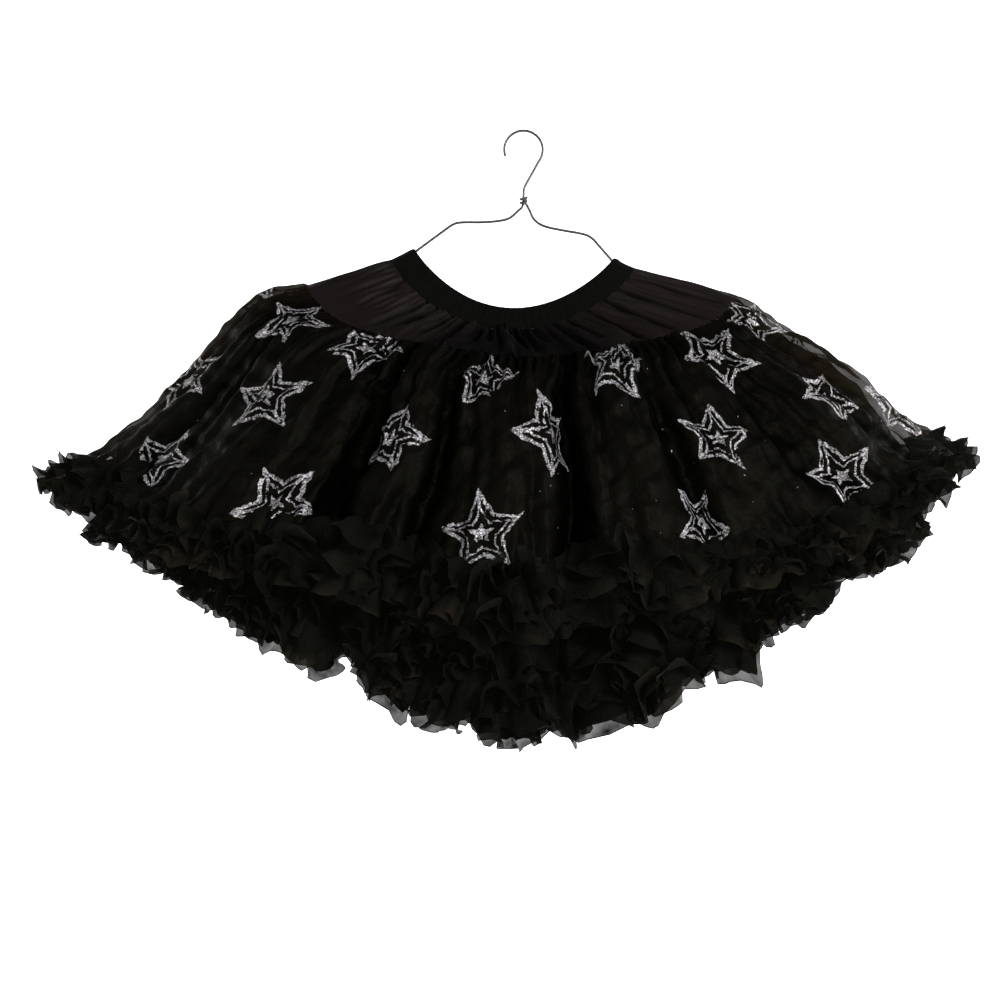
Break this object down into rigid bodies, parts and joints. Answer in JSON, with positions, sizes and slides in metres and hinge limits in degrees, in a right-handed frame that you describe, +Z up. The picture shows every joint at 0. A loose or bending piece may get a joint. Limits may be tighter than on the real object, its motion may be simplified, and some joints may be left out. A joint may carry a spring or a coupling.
{
  "type": "tutu skirt on a wire hanger",
  "caption": "Child's full tutu skirt with an elastic waist, a gathered yoke and sheer ruffled tiers, hanging on a bent wire hanger.",
  "frame": {"origin": "inside top of the hanger's hook, where it rests on a rail", "axes": "+Z up, -Y is the skirt's front, +X to the right as the front is seen, so the hanger lies in the XZ plane"},
  "size_m": [0.8812, 0.4123, 0.5713],
  "materials": {
    "band": "black elastic casing in a plain knit",
    "satin": "black satin with a soft brownish sheen",
    "organza": "sheer black organza with scattered silver glitter motifs",
    "chiffon": "crumpled sheer black chiffon ruffle",
    "under_organza": "plain sheer black organza",
    "under_chiffon": "crumpled sheer black chiffon ruffle",
    "wire": "plain dark grey steel wire"
  },
  "bodies": {
    "root": {"waistband": "band", "yoke": "satin", "outer_tier": "organza", "outer_ruffle": "chiffon", "under_tier": "under_organza", "under_ruffle": "under_chiffon", "hanger": "wire"}
  },
  "joints": []
}
